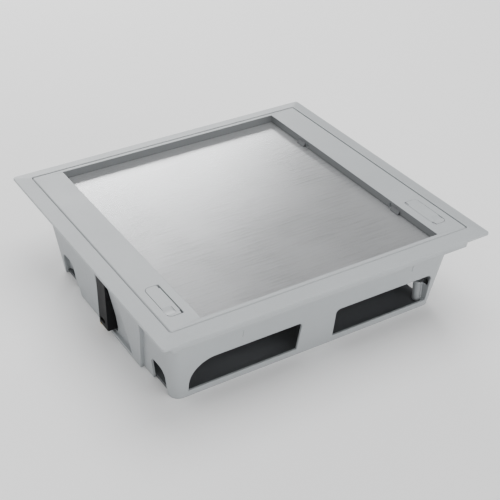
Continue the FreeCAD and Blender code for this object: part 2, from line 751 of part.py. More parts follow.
# ---- module carriers and modules (front ones, facing the centre; the back ones are turned half round) ------------
def module_carrier():
    """Bent steel carrier with one long opening and a foot along its lower edge."""
    y1, y0 = -carrier_face, -carrier_face - carrier_thickness
    z0, z1 = carrier_base, carrier_base + carrier_height
    half = carrier_length / 2
    face = block(-half, half, y0, y1, z0, z1)
    foot = block(-half, half, y1 - carrier_foot, y1, z0, z0 + carrier_thickness)
    carrier = fused([face, foot])
    for side in (-1, 1):
        end = prism([V(side * half, y0, z0), V(side * half, y1 - carrier_foot, z0),
                     V(side * half, y0, z1 - carrier_web)],
                    V(-side * carrier_thickness, 0, 0))
        carrier = fused([carrier, end])
    window = block(-module_span / 2 - module_gap, module_span / 2 + module_gap, y0 - 1, y1 + 1,
                   module_sill, module_sill + module_size)
    carrier = carrier.cut(window)
    for side in (-1, 1):
        carrier = carrier.cut(rod(clear_radius, V(side * carrier_screw_x, -carrier_screw_y, z0 - 1), Z_AXIS,
                                  4))
    return carrier


def carrier_screws():
    return Part.makeCompound([cheese_screw(sx * carrier_screw_x, sy * carrier_screw_y,
                                           carrier_base + carrier_thickness,
                                           carrier_screw_length, -1) for sx, sy in CORNERS])


def module_centre(k):
    return (k - (module_count - 1) / 2) * module_size


def bezel(x):
    """Front cover of one module, against the carrier's face."""
    half = module_size / 2 - module_gap / 2
    plate = block(x - half, x + half, -carrier_face, -carrier_face + bezel_thickness,
                  module_mid - bezel_height / 2, module_mid + bezel_height / 2)
    return filleted(plate, bezel_corner, lambda e: along(e, Y_AXIS))


def module_body(x, depth):
    """Rear housing of a module, through the carrier's opening."""
    half = module_size / 2 - body_gap
    return block(x - half, x + half, -carrier_face - depth, -carrier_face, module_mid - half,
                 module_mid + half)


def socket_housing(x):
    """Power socket: a round well with side grooves, earth notches and two contact holes."""
    face = -carrier_face + bezel_thickness
    body = fused([bezel(x), module_body(x, socket_depth - bezel_thickness)])
    well = rod(well_radius, V(x, face - well_depth, module_mid), Y_AXIS, well_depth + 1)
    body = body.cut(well)
    mouth = [e for e in body.Edges if e.Curve.TypeId == "Part::GeomCircle"
             and abs(e.Curve.Radius - well_radius) < 0.01 and e.CenterOfMass.y > face - 0.1]
    body = body.makeChamfer(well_bevel, mouth)
    floor_y = face - well_depth
    for side in (-1, 1):
        cx = x + side * contact_pitch / 2
        hole = rod(contact_hole_radius, V(cx, floor_y - contact_skin - 1, module_mid), Y_AXIS,
                   contact_skin + 2)
        hole = hole.fuse(block(cx - contact_size / 2, cx + contact_size / 2, floor_y - contact_depth,
                               floor_y - contact_skin, module_mid - contact_size / 2, module_mid + contact_size / 2))
        notch = block(x - notch_width / 2, x + notch_width / 2, floor_y, floor_y + earth_length + 1,
                      module_mid + side * (well_radius - 1), module_mid + side * (well_radius + notch_depth))
        groove = block(x + side * (well_radius - 1), x + side * (well_radius + well_groove_depth),
                       floor_y, floor_y + well_groove_length,
                       module_mid - well_groove_height / 2, module_mid + well_groove_height / 2)
        body = body.cut(hole).cut(notch).cut(groove)
    return body


def socket_earth_contacts(x):
    """Two sprung earth tongues at the top and bottom of the well."""
    floor_y = -carrier_face + bezel_thickness - well_depth
    tongues = []
    for side in (-1, 1):
        back = module_mid + side * (well_radius + notch_depth)
        front = back - side * earth_thickness
        belly = module_mid + side * (well_radius - earth_belly)
        half = notch_width / 2 - earth_side_gap
        points = [V(x - half, floor_y, back), V(x - half, floor_y + earth_length, back),
                  V(x - half, floor_y + earth_length, front), V(x - half, floor_y + earth_length * 0.62,
                                                                belly),
                  V(x - half, floor_y + earth_length * 0.25, front), V(x - half, floor_y, front)]
        tongues.append(prism(points, V(2 * half, 0, 0)))
    return Part.makeCompound(tongues)


def socket_contacts(x):
    """Two folded brass springs, each a U whose leaves grip a plug's pin."""
    back = -carrier_face + bezel_thickness - well_depth - contact_depth
    springs = []
    for side in (-1, 1):
        cx = x + side * contact_pitch / 2
        half = contact_size / 2
        length = contact_depth - contact_skin
        sheet, grip = contact_sheet, contact_grip / 2
        right = [V(cx, back, 0), V(cx + half, back, 0), V(cx + grip + sheet, back + 0.8 * length, 0),
                 V(cx + half, back + length, 0), V(cx + half - sheet, back + length, 0),
                 V(cx + grip, back + 0.8 * length, 0), V(cx + half - sheet, back + sheet, 0), V(cx,
                                                                                                back + sheet, 0)]
        leaf = prism(right, V(0, 0, contact_size - contact_sheet))
        leaf.translate(V(0, 0, module_mid - (contact_size - contact_sheet) / 2))
        other = mirrored(leaf.translated(V(-cx, 0, 0)), X_AXIS).translated(V(cx, 0, 0))
        springs.append(fused([leaf, other]))
    return Part.makeCompound(springs)


def jack_centres(x):
    return [x - jack_pitch / 2, x + jack_pitch / 2]


def data_module(x):
    """Cover and body with two square ways for the jacks."""
    body = fused([bezel(x), module_body(x, data_depth - bezel_thickness)])
    for cx in jack_centres(x):
        way = block(cx - jack_width / 2, cx + jack_width / 2, -carrier_face - data_depth,
                    -carrier_face + bezel_thickness + 1,
                    module_mid - jack_height / 2, module_mid + jack_height / 2)
        body = body.cut(way)
    return body


def data_jacks(x):
    """Two eight-way jacks with a plug mouth and a latch notch each."""
    face = -carrier_face + bezel_thickness - jack_sink
    jacks = []
    for cx in jack_centres(x):
        jack = block(cx - jack_width / 2, cx + jack_width / 2, face - jack_depth, face,
                     module_mid - jack_height / 2, module_mid + jack_height / 2)
        mouth = block(cx - jack_mouth_width / 2, cx + jack_mouth_width / 2, face - jack_mouth_depth, face + 1,
                      module_mid - jack_mouth_height / 2, module_mid + jack_mouth_height / 2)
        latch = block(cx - jack_latch_width / 2, cx + jack_latch_width / 2, face - jack_mouth_depth, face + 1,
                      module_mid - jack_mouth_height / 2 - jack_latch_height, module_mid)
        jacks.append(jack.cut(mouth.fuse(latch)))
    return Part.makeCompound(jacks)


def blank_module(x):
    """Blank cover with an open-backed snap body."""
    body = fused([bezel(x), module_body(x, data_depth - bezel_thickness)])
    half = module_size / 2 - body_gap - blank_wall
    return body.cut(block(x - half, x + half, -carrier_face - data_depth, -carrier_face, module_mid - half,
                          module_mid + half))


# ---- earth terminal -----------------------------------------------------------------------------------------
def earth_bar():
    """Brass bar with a row of wire ways through it and a clamp screw above each."""
    z0 = base_thickness + bar_seat
    bar = block(-bar_length / 2, bar_length / 2, -bar_width / 2, bar_width / 2, z0, z0 + bar_height)
    for x in bar_spots():
        bar = bar.cut(rod(bar_hole_radius, V(x, -bar_width, z0 + bar_way_height), Y_AXIS, 2 * bar_width))
        bar = bar.cut(rod(bar_screw_radius, V(x, 0, z0 + bar_way_height), Z_AXIS, bar_height))
    return bar


def bar_spots():
    return [(k - (bar_holes - 1) / 2) * bar_length / bar_holes for k in range(bar_holes)]


def earth_bar_screws():
    z = base_thickness + bar_seat + bar_height
    screws = []
    for x in bar_spots():
        shank = rod(bar_screw_radius, V(x, 0, z - bar_screw_shank), Z_AXIS, bar_screw_shank)
        head = rod(bar_screw_head_radius, V(x, 0, z), Z_AXIS, bar_screw_head)
        slot = block(x - bar_screw_head_radius, x + bar_screw_head_radius, -drive_width / 2, drive_width / 2,
                     z + bar_screw_head / 2, z + bar_screw_head)
        screws.append(fused([shank, head]).cut(slot))
    return Part.makeCompound(screws)


# ---- the nodes ----------------------------------------------------------------------------------------------
def build():
    os.makedirs("parts", exist_ok=True)
    save("floor_frame", floor_frame())
    save("box_body", box_body())
    save("base_plate", base_plate())
    save("frame_screws", Part.makeCompound([cheese_screw(sx * frame_screw_x, sy * frame_screw_y,
                                                         frame_screw_z,
                                                         screw_length, -1) for sx, sy in CORNERS]))
    save("base_screws", Part.makeCompound([cheese_screw(sx * base_screw_x, sy * base_screw_y, base_screw_z,
                                                        screw_length, 1) for sx, sy in CORNERS]))
    for side, name in ((1, "right"), (-1, "left")):
        for piece, maker in (("clamp_claw", clamp_claw), ("clamp_nut", clamp_nut),
                             ("clamp_screw", clamp_screw),
                             ("cable_flap", cable_flap), ("flap_pin", flap_pin)):
            shape = maker()
            save(f"{name}_{piece}", shape if side > 0 else mirrored(shape, X_AXIS))
    save("lid_frame", lid_frame())
    save("lid_plate", lid_plate())
    save("plate_clips", Part.makeCompound([plate_clip(side, y) for side, y in clip_spots()]))
    save("lid_hinge_pins", lid_hinge_pins())
    save("lid_seal", lid_seal())
    save("carrier_screws", carrier_screws())
    save("earth_bar", earth_bar())
    save("earth_bar_screws", earth_bar_screws())
    for row, turn in (("front", lambda s: s), ("back", half_turn)):
        save(f"{row}_module_carrier", turn(module_carrier()))
        for k in (0, 1):
            x = module_centre(k)
            save(f"{row}_socket_{k + 1}", turn(socket_housing(x)))
            save(f"{row}_socket_{k + 1}_earth", turn(socket_earth_contacts(x)))
            save(f"{row}_socket_{k + 1}_contacts", turn(socket_contacts(x)))
        save(f"{row}_data_module", turn(data_module(module_centre(2))))
        save(f"{row}_data_jacks", turn(data_jacks(module_centre(2))))
        save(f"{row}_blank_module", turn(blank_module(module_centre(3))))


build()
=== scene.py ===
"""Looks for the floor socket box: finishes, softened edges, screws, wires, wall ridges and a studio."""
import bpy
import json
import math
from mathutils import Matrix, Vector


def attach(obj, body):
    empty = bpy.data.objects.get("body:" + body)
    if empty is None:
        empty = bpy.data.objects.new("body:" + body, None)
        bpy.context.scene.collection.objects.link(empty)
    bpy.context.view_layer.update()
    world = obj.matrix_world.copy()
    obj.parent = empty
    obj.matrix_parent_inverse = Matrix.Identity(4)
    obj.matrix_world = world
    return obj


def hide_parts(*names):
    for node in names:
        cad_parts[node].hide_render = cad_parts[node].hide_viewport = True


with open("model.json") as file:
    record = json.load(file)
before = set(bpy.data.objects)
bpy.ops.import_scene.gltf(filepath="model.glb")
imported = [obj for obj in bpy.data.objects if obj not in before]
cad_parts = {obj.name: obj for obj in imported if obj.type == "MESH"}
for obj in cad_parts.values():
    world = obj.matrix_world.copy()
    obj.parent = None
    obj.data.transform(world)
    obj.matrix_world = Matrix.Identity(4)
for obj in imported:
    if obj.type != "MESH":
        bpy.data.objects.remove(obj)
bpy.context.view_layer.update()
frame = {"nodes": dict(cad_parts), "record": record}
NODES = frame["nodes"]
MM = 0.001


# ---- node trees -----------------------------------------------------------------------------------
class Finish:
    """A material built from nodes, with short ways to add each kind."""

    def __init__(self, name, colour, roughness, metallic=0.0, specular=0.5):
        self.material = bpy.data.materials.new(name)
        self.material.use_nodes = True
        self.material.diffuse_color = (*colour, 1)
        self.tree = self.material.node_tree
        self.shader = self.tree.nodes["Principled BSDF"]
        self.shader.inputs["Base Color"].default_value = (*colour, 1)
        self.shader.inputs["Roughness"].default_value = roughness
        self.shader.inputs["Metallic"].default_value = metallic
        self.shader.inputs["Specular IOR Level"].default_value = specular
        self.coords = self.add("ShaderNodeTexCoord").outputs["Object"]

    def add(self, kind, links=None, values=None, **settings):
        node = self.tree.nodes.new(kind)
        for key, value in settings.items():
            setattr(node, key, value)
        for key, value in (values or {}).items():
            node.inputs[key].default_value = value
        for key, socket in (links or {}).items():
            self.tree.links.new(socket, node.inputs[key])
        return node

    def stretched(self, scale):
        return self.add("ShaderNodeMapping", {"Vector": self.coords}, {"Scale": scale}).outputs["Vector"]

    def noise(self, scale, detail=3.0, rough=0.5, vector=None):
        node = self.add("ShaderNodeTexNoise", {"Vector": vector or self.coords},
                        {"Scale": scale, "Detail": detail, "Roughness": rough})
        return node.outputs["Fac"]

    def cells(self, scale, output="Distance", feature="F1", randomness=1.0):
        node = self.add("ShaderNodeTexVoronoi", {"Vector": self.coords},
                        {"Scale": scale, "Randomness": randomness}, feature=feature)
        return node.outputs[output]

    def mapped(self, value, low, high, to_low, to_high):
        limits = {"From Min": low, "From Max": high, "To Min": to_low, "To Max": to_high}
        return self.add("ShaderNodeMapRange", {"Value": value}, limits).outputs["Result"]

    def math(self, kind, a, b):
        node = self.add("ShaderNodeMath", operation=kind)
        for slot, item in enumerate((a, b)):
            if isinstance(item, (int, float)):
                node.inputs[slot].default_value = item
            else:
                self.tree.links.new(item, node.inputs[slot])
        return node.outputs[0]

    def blend(self, factor, a, b, kind="MIX"):
        node = self.add("ShaderNodeMix", data_type="RGBA", blend_type=kind)
        self.tree.links.new(factor, node.inputs[0])
        for slot, item in ((6, a), (7, b)):
            if isinstance(item, tuple):
                node.inputs[slot].default_value = (*item, 1)
            else:
                self.tree.links.new(item, node.inputs[slot])
        return node.outputs[2]

    def edges(self, radius):
        """Nearly 1 on outside edges within the radius and 0 on flats."""
        soft = self.add("ShaderNodeBevel", values={"Radius": radius}, samples=4).outputs["Normal"]
        sharp = self.add("ShaderNodeNewGeometry").outputs["Normal"]
        dot = self.add("ShaderNodeVectorMath", {0: soft, 1: sharp}, operation="DOT_PRODUCT").outputs["Value"]
        return self.mapped(dot, 0.99, 0.80, 0.0, 1.0)

    def hollows(self, distance):
        """1 in the open and towards 0 in corners and slots."""
        return self.add("ShaderNodeAmbientOcclusion", values={"Distance": distance}, samples=4).outputs["AO"]

    def bump(self, *layers):
        """Adds layers of (height, strength, distance) and gives the shader their normal."""
        normal = None
        for height, strength, distance in layers:
            links = {"Height": height}
            if normal:
                links["Normal"] = normal
            node = self.add("ShaderNodeBump", links, {"Strength": strength, "Distance": distance})
            normal = node.outputs["Normal"]
        self.to("Normal", normal)

    def to(self, name, socket):
        self.tree.links.new(socket, self.shader.inputs[name])


def shade(colour, factor):
    return tuple(min(1.0, c * factor) for c in colour)


# Share of the colour left under the painted shade on the lid's recess walls.
RECESS_PAINTED_SHADE = 0.34


def moulded(name, colour, roughness, grain=900, depth=0.00004, strength=0.25, wear=1.12, specular=0.5,
            painted_shade_box=None):
    """Moulded plastic: spark-eroded grain, faint flow, paler worn edges and painted shade in the corners.

    Inside the given box of (half x, low y, high y, low z, high z) in metres, the colour gets painted shade.
    """
    f = Finish(name, colour, roughness, specular=specular)
    flow = f.noise(14, 4, 0.6)
    speck = f.noise(260, 2, 0.5)
    tone = f.blend(f.mapped(flow, 0.3, 0.7, 0, 1), shade(colour, 0.965), shade(colour, 1.03))
    tone = f.blend(f.mapped(speck, 0.35, 0.65, 0, 0.35), tone, shade(colour, 0.95))
    rub = f.math("MULTIPLY", f.edges(0.0006), f.mapped(f.noise(45, 5, 0.65), 0.35, 0.65, 0.25, 1.0))
    tone = f.blend(f.math("MULTIPLY", rub, 0.6), tone, shade(colour, wear))
    # Painted shade: the colour darkens in corners and slots, where the ambient occlusion finds them.
    corner_painted_shade = f.mapped(f.hollows(0.004), 0.75, 0.25, 0.0, 0.35)
    tone = f.blend(corner_painted_shade, tone, shade(colour, 0.72))
    if painted_shade_box:
        half_x, low_y, high_y, low_z, high_z = painted_shade_box
        x, y, z = (f.add("ShaderNodeSeparateXYZ", {"Vector": f.coords}).outputs[axis] for axis in "XYZ")
        inside = f.math("LESS_THAN", f.math("ABSOLUTE", x, 0.0), half_x)
        for item, low, high in ((y, low_y, high_y), (z, low_z, high_z)):
            inside = f.math("MULTIPLY", inside, f.math("GREATER_THAN", item, low))
            inside = f.math("MULTIPLY", inside, f.math("LESS_THAN", item, high))
        # Painted shade on the lid's recess walls.
        tone = f.blend(inside, tone, shade(colour, RECESS_PAINTED_SHADE))
    f.to("Base Color", tone)
    patch = f.mapped(f.noise(30, 4, 0.55), 0.3, 0.7, roughness - 0.05, roughness + 0.06)
    f.to("Roughness", f.math("SUBTRACT", patch, f.math("MULTIPLY", rub, 0.12)))
    f.bump((f.noise(grain, 3, 0.6), strength, depth), (f.noise(32, 2, 0.4), 0.06, 0.0006))
    return f.material


def grained(name, colour, roughness, along, across, spread=0.09, metallic=0.75):
    """Lacquered sheet steel with straight rolling grain and a stretched highlight."""
    f = Finish(name, colour, roughness, metallic=metallic)
    fine = f.noise(1.0, 4, 0.6, f.stretched(tuple(6500 if a else 20 for a in across)))
    wide = f.noise(1.0, 3, 0.5, f.stretched(tuple(700 if a else 5 for a in across)))
    cloud = f.noise(9, 4, 0.55)
    tone = f.blend(f.mapped(fine, 0.3, 0.7, 0, 1), shade(colour, 0.93), shade(colour, 1.05))
    tone = f.blend(f.mapped(wide, 0.3, 0.7, 0, 0.5), tone, shade(colour, 0.95))
    tone = f.blend(f.mapped(cloud, 0.35, 0.7, 0, 0.3), tone, shade(colour, 1.05))
    f.to("Base Color", tone)
    rough = f.math("ADD", f.mapped(fine, 0.3, 0.7, roughness - spread, roughness + spread),
                   f.mapped(cloud, 0.3, 0.7, -0.03, 0.04))
    f.to("Roughness", rough)
    f.shader.inputs["Anisotropic"].default_value = 0.55
    tangent = f.add("ShaderNodeVectorTransform", values={"Vector": along}, vector_type="VECTOR",
                    convert_from="OBJECT", convert_to="WORLD").outputs["Vector"]
    f.to("Tangent", tangent)
    f.bump((fine, 0.10, 0.00003), (f.noise(6, 2, 0.4), 0.05, 0.0015))
    return f.material


def plated(name, colour, roughness, scale=120, tint=(0.80, 0.82, 0.86)):
    """Bright plating: cloudy tone, fine scratches and rubbed edges."""
    f = Finish(name, colour, roughness, metallic=1.0)
    cloud = f.noise(scale, 5, 0.6)
    tone = f.blend(f.mapped(cloud, 0.3, 0.7, 0, 1), shade(colour, 0.88), shade(tint, 0.95))
    tone = f.blend(f.mapped(f.edges(0.0003), 0, 1, 0, 0.6), tone, shade(colour, 1.25))
    f.to("Base Color", tone)
    scratch = f.noise(1.0, 3, 0.7, f.stretched((2600, 300, 2600)))
    f.to("Roughness", f.math("ADD", f.mapped(scratch, 0.35, 0.7, roughness - 0.05, roughness + 0.1),
                             f.mapped(cloud, 0.3, 0.7, -0.03, 0.05)))
    f.bump((scratch, 0.12, 0.00002), (f.noise(700, 2, 0.5), 0.08, 0.00002))
    return f.material


def spangled(name, colour, roughness):
    """Galvanised sheet: zinc crystals of differing brightness."""
    f = Finish(name, colour, roughness, metallic=1.0)
    crystal = f.cells(170, "Color")
    grey = f.add("ShaderNodeSeparateColor", {"Color": crystal}).outputs["Red"]
    tone = f.blend(grey, shade(colour, 0.80), shade(colour, 1.15))
    tone = f.blend(f.mapped(f.noise(25, 4, 0.6), 0.35, 0.7, 0, 0.4), tone, shade(colour, 0.92))
    f.to("Base Color", tone)
    f.to("Roughness", f.mapped(grey, 0, 1, roughness - 0.08, roughness + 0.12))
    f.bump((f.cells(170), 0.10, 0.00008), (f.noise(1500, 2, 0.5), 0.08, 0.00002))
    return f.material


def foam(name, colour):
    """Closed-cell foam strip, with painted shade in the pits of its cells."""
    f = Finish(name, colour, 0.92, specular=0.25)
    cell = f.cells(1500, "Distance", "F1", 0.9)
    # Painted shade: each cell is darker towards its middle, where the bump sinks it.
    f.to("Base Color", f.blend(f.mapped(cell, 0.0, 0.5, 0, 1), shade(colour, 0.55), shade(colour, 1.5)))
    f.bump((cell, 0.7, 0.0002), (f.noise(120, 3, 0.5), 0.2, 0.0004))
    return f.material


FRAME_GREY = (0.385, 0.405, 0.417)
FINISHES = {
    "frame_plastic": moulded("frame_plastic", FRAME_GREY, 0.46),
    "body_plastic": moulded("body_plastic", (0.355, 0.375, 0.387), 0.52, grain=750, strength=0.3),
    "base_plastic": moulded("base_plastic", (0.092, 0.097, 0.104), 0.58, grain=600, strength=0.4, wear=1.6),
    "clip_plastic": moulded("clip_plastic", (0.085, 0.09, 0.095), 0.50, wear=1.5),
    "tray_steel": grained("tray_steel", (0.53, 0.54, 0.55), 0.31, (1.0, 0.0, 0.0), (0, 1, 1)),
    "claw_plastic": moulded("claw_plastic", (0.006, 0.006, 0.007), 0.56, grain=420, depth=0.00008,
                            strength=0.35, wear=2.5, specular=0.16),
    "zinc_steel": plated("zinc_steel", (0.62, 0.63, 0.65), 0.27),
    "carrier_steel": spangled("carrier_steel", (0.60, 0.615, 0.63), 0.36),
    "terminal_brass": plated("terminal_brass", (0.80, 0.58, 0.26), 0.26, 90, (0.86, 0.66, 0.34)),
    "contact_metal": plated("contact_metal", (0.74, 0.72, 0.67), 0.20, 150, (0.80, 0.78, 0.72)),
    "module_white": moulded("module_white", (0.76, 0.765, 0.755), 0.26, grain=300, depth=0.00001,
                            strength=0.05, wear=1.05),
    "jack_plastic": moulded("jack_plastic", (0.018, 0.018, 0.02), 0.34, grain=500, strength=0.08, wear=2.2),
    "seal_rubber": foam("seal_rubber", (0.028, 0.028, 0.028)),
}

# ---- softened edges on the frame's own pieces -----------------------------------------------------
# Widths in millimetres.
EDGE_WIDTH = {"floor_frame": 0.35, "lid_frame": 0.30, "box_body": 0.40, "base_plate": 0.20, "lid_plate": 0.12,
              "lid_seal": 0.25, "earth_bar": 0.08, "cable_flap": 0.07, "flap_pin": 0.05,
              "module_carrier": 0.12, "contacts": 0.06, "earth": 0.10}
EDGE_DEFAULT = 0.15
EDGE_ANGLE = math.radians(30)
EDGE_SEGMENTS = 2
WELD_DISTANCE = 2e-6              # metres


def soften(obj, width):
    """Rounds the sharp edges and keeps the flats flat."""
    weld = obj.modifiers.new("weld", "WELD")
    weld.merge_threshold = WELD_DISTANCE
    bevel = obj.modifiers.new("bevel", "BEVEL")
    bevel.width, bevel.segments = width * MM, EDGE_SEGMENTS
    bevel.limit_method, bevel.angle_limit = "ANGLE", EDGE_ANGLE
    bevel.harden_normals, bevel.use_clamp_overlap = True, False
    bevel.miter_outer = "MITER_ARC"
    weighted = obj.modifiers.new("weighted", "WEIGHTED_NORMAL")
    weighted.keep_sharp = True


def edge_width(name):
    """The width for a node, by its own name or by the kind of piece its name ends with."""
    for key, width in EDGE_WIDTH.items():
        if name == key or name.endswith("_" + key):
            return width
    return EDGE_DEFAULT


# The walls of the lid's recess get painted shade, darker than the rest of the lid: half x, low y, high y, low
# z, high z.
RECESS = (0.1105, -0.1285, 0.1285, 0.0785, 0.0861)
LID_FINISH_WITH_PAINTED_SHADE = moulded("lid_plastic_painted_shade", FRAME_GREY, 0.46, painted_shade_box=RECESS)
slot_of = {part["node"]: part["material_slot"] for part in frame["record"]["subparts"]}
for name, node in NODES.items():
    node.data.materials.clear()
    node.data.materials.append(LID_FINISH_WITH_PAINTED_SHADE if name == "lid_frame" else FINISHES[slot_of[name]])
    soften(node, edge_width(name))


# ---- pieces that only show ------------------------------------------------------------------------
def piece(name, verts, faces, slot, body, smooth=False):
    """A mesh object from points in millimetres that rides on a body."""
    mesh = bpy.data.meshes.new(name)
    mesh.from_pydata([tuple(c * MM for c in v) for v in verts], [], faces)
    mesh.validate()
    mesh.polygons.foreach_set("use_smooth", [smooth] * len(mesh.polygons))
    mesh.materials.append(FINISHES[slot])
    obj = bpy.data.objects.new(name, mesh)
    bpy.context.collection.objects.link(obj)
    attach(obj, body)
    return obj


def turned(profile, centre, sides, axis="z", sense=1):
    """Verts and faces of a profile of (radius, height) turned about an axis through the centre."""
    verts, faces = [], []
    for r, h in profile:
        for k in range(sides):
            a = 2 * math.pi * k / sides
            u, w = r * math.cos(a), r * math.sin(a)
            local = (u, w, h) if axis == "z" else (u, sense * h, w)
            verts.append(tuple(c + d for c, d in zip(centre, local)))
    for i in range(len(profile) - 1):
        for k in range(sides):
            n = (k + 1) % sides
            faces.append((i * sides + k, i * sides + n, (i + 1) * sides + n, (i + 1) * sides + k))
    faces.append(tuple(range(sides))[::-1])
    faces.append(tuple((len(profile) - 1) * sides + k for k in range(sides)))
    return verts, faces


THREAD_MAJOR, THREAD_MINOR, THREAD_PITCH = 2.49, 2.02, 1.0
THREAD_SIDES, THREAD_STEPS = 28, 8
THREAD_SLOPE = 2.6                # how steeply the ridge falls to the root
SHANK_GAP = 0.05                  # plain shank inside the thread's major radius


def screw_thread(centre, z0, z1, plain):
    """A shank with a helical ridge up to the plain part under the head."""
    rings = int((z1 - z0) / THREAD_PITCH * THREAD_STEPS)
    verts, faces = [], []
    for i in range(rings + 1):
        z = z0 + (z1 - z0) * i / rings
        fade = min(1.0, max(0.0, (z1 - plain - z) / THREAD_PITCH), (z - z0) / THREAD_PITCH + 0.05)
        for k in range(THREAD_SIDES):
            turn = k / THREAD_SIDES
            phase = (z / THREAD_PITCH - turn) % 1.0
            ridge = max(0.0, 1.0 - abs(phase - 0.5) * THREAD_SLOPE)
            r = THREAD_MINOR + (THREAD_MAJOR - THREAD_MINOR) * ridge * fade
            if z > z1 - plain:
                r = THREAD_MAJOR - SHANK_GAP
            a = 2 * math.pi * turn
            verts.append((centre[0] + r * math.cos(a), centre[1] + r * math.sin(a), z))
    for i in range(rings):
        for k in range(THREAD_SIDES):
            n = (k + 1) % THREAD_SIDES
            a, b = i * THREAD_SIDES, (i + 1) * THREAD_SIDES
            faces.append((a + k, a + n, b + n, b + k))
    faces.append(tuple(range(THREAD_SIDES))[::-1])
    faces.append(tuple(rings * THREAD_SIDES + k for k in range(THREAD_SIDES)))
    return verts, faces


HEAD_SIDES = 40
HEAD_EDGE = 0.08                  # width of a head's softened edges
CROSS_TAPER = 0.62                # share of the cross's size left at its bottom


def head_with_cross(name, centre, sizes, body, axis="z", sense=1):
    """A zinc pan head with a cross recess cut by a boolean."""
    radius, height, bevel, arm, width, depth = sizes
    profile = [(radius - 0.25, 0), (radius, 0.25), (radius, height - 1.9 * bevel),
               (radius - 0.22 * bevel, height - bevel), (radius - 0.9 * bevel, height - 0.28 * bevel),
               (radius - 2 * bevel, height)]
    verts, faces = turned(profile, centre, HEAD_SIDES, axis, sense)
    head = piece(name, verts, faces, "zinc_steel", body, True)
    cutter = bpy.data.meshes.new(name + "_cutter")
    points, blocks = [], []
    for along_u in (True, False):
        base = len(points)
        for h, shrink in ((height + 0.5, 1.0), (height - depth, CROSS_TAPER)):
            for su, sw in ((-1, -1), (1, -1), (1, 1), (-1, 1)):
                u = su * (arm if along_u else width / 2) * shrink
                w = sw * (width / 2 if along_u else arm) * shrink
                local = (u, w, h) if axis == "z" else (u, sense * h, w)
                points.append(tuple((c + d) * MM for c, d in zip(centre, local)))
        quads = ((0, 1, 2, 3), (7, 6, 5, 4), (0, 4, 5, 1), (1, 5, 6, 2), (2, 6, 7, 3), (3, 7, 4, 0))
        blocks += [tuple(base + i for i in quad) for quad in quads]
    cutter.from_pydata(points, [], blocks)
    tool = bpy.data.objects.new(name + "_cutter", cutter)
    bpy.context.collection.objects.link(tool)
    cut = head.modifiers.new("cross", "BOOLEAN")
    cut.operation, cut.object, cut.solver, cut.use_self = "DIFFERENCE", tool, "EXACT", True
    graph = bpy.context.evaluated_depsgraph_get()
    result = bpy.data.meshes.new_from_object(head.evaluated_get(graph))
    head.modifiers.remove(cut)
    head.data = result
    bpy.data.objects.remove(tool)
    rounded = head.modifiers.new("bevel", "BEVEL")
    rounded.width, rounded.segments, rounded.limit_method = HEAD_EDGE * MM, EDGE_SEGMENTS, "ANGLE"
    rounded.angle_limit, rounded.harden_normals = EDGE_ANGLE, True
    return head


# Clamp screws.
CLAMP_X, CLAMP_Y = 130.5, 4.75
BODY_TOP = 70.5
THREAD_TIP, THREAD_REACH = 4.2, 0.3   # tip's height, and how far the shank goes into the head
PLAIN_SHANK = 4.0
CLAMP_HEAD = (4.5, 3.0, 0.8, 2.6, 1.05, 1.8)   # radius, height, bevel; the cross's arm, width and depth
for side, sign in (("left", -1), ("right", 1)):
    centre = (sign * CLAMP_X, CLAMP_Y, 0)
    verts, faces = screw_thread(centre, THREAD_TIP, BODY_TOP + THREAD_REACH, PLAIN_SHANK)
    piece(f"{side}_clamp_thread", verts, faces, "zinc_steel", f"{side}_screw", True)
    head = head_with_cross(f"{side}_clamp_head", (sign * CLAMP_X, CLAMP_Y, BODY_TOP), CLAMP_HEAD,
                           f"{side}_screw")
    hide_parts(f"{side}_clamp_screw")

# Jack wires and socket screws.
MODULE_MID = 41.3
CARRIER_FACE = 44.0
COVER_THICKNESS, JACK_SINK, WELL_DEPTH = 2.0, 0.8, 17.5
JACK_FACE = CARRIER_FACE - COVER_THICKNESS + JACK_SINK
WELL_FLOOR = CARRIER_FACE - COVER_THICKNESS + WELL_DEPTH
WIRE_COUNT, WIRE_PITCH, WIRE_RADIUS = 8, 1.02, 0.18
# (depth behind the jack's face, height above its middle)
WIRE_PATH = [(12.9, 3.2), (11.0, 3.2), (8.0, 2.7), (4.0, 0.6), (2.9, -0.4), (3.3, -0.9)]


def wires(name, centre_x, facing):
    """Sprung wires that come forward under a jack mouth's roof and bend down behind its opening."""
    curve = bpy.data.curves.new(name, "CURVE")
    curve.dimensions = "3D"
    curve.bevel_depth, curve.bevel_resolution, curve.resolution_u = WIRE_RADIUS * MM, 2, 6
    for k in range(WIRE_COUNT):
        x = centre_x + (k - (WIRE_COUNT - 1) / 2) * WIRE_PITCH
        spline = curve.splines.new("BEZIER")
        spline.bezier_points.add(len(WIRE_PATH) - 1)
        for point, (deep, high) in zip(spline.bezier_points, WIRE_PATH):
            point.co = Vector((x, facing * (JACK_FACE + deep), MODULE_MID + high)) * MM
            point.handle_left_type = point.handle_right_type = "AUTO"
    curve.materials.append(FINISHES["contact_metal"])
    obj = bpy.data.objects.new(name, curve)
    bpy.context.collection.objects.link(obj)
    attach(obj, "box")


DATA_X, JACK_OFFSETS, SOCKETS_X = 22.5, (-10.5, 10.5), (-67.5, -22.5)
SOCKET_SCREW = (3.0, 1.2, 0.3, 1.9, 0.8, 0.9)   # sizes in the order of CLAMP_HEAD
for row, facing in (("front", -1), ("back", 1)):
    for index, offset in enumerate(JACK_OFFSETS):
        wires(f"{row}_jack_{index + 1}_wires", DATA_X * -facing + offset, facing)
    for index, socket_x in enumerate(SOCKETS_X):
        place = (socket_x * -facing, facing * WELL_FLOOR, MODULE_MID)
        head_with_cross(f"{row}_socket_{index + 1}_screw", place, SOCKET_SCREW, "box", "y", -facing)

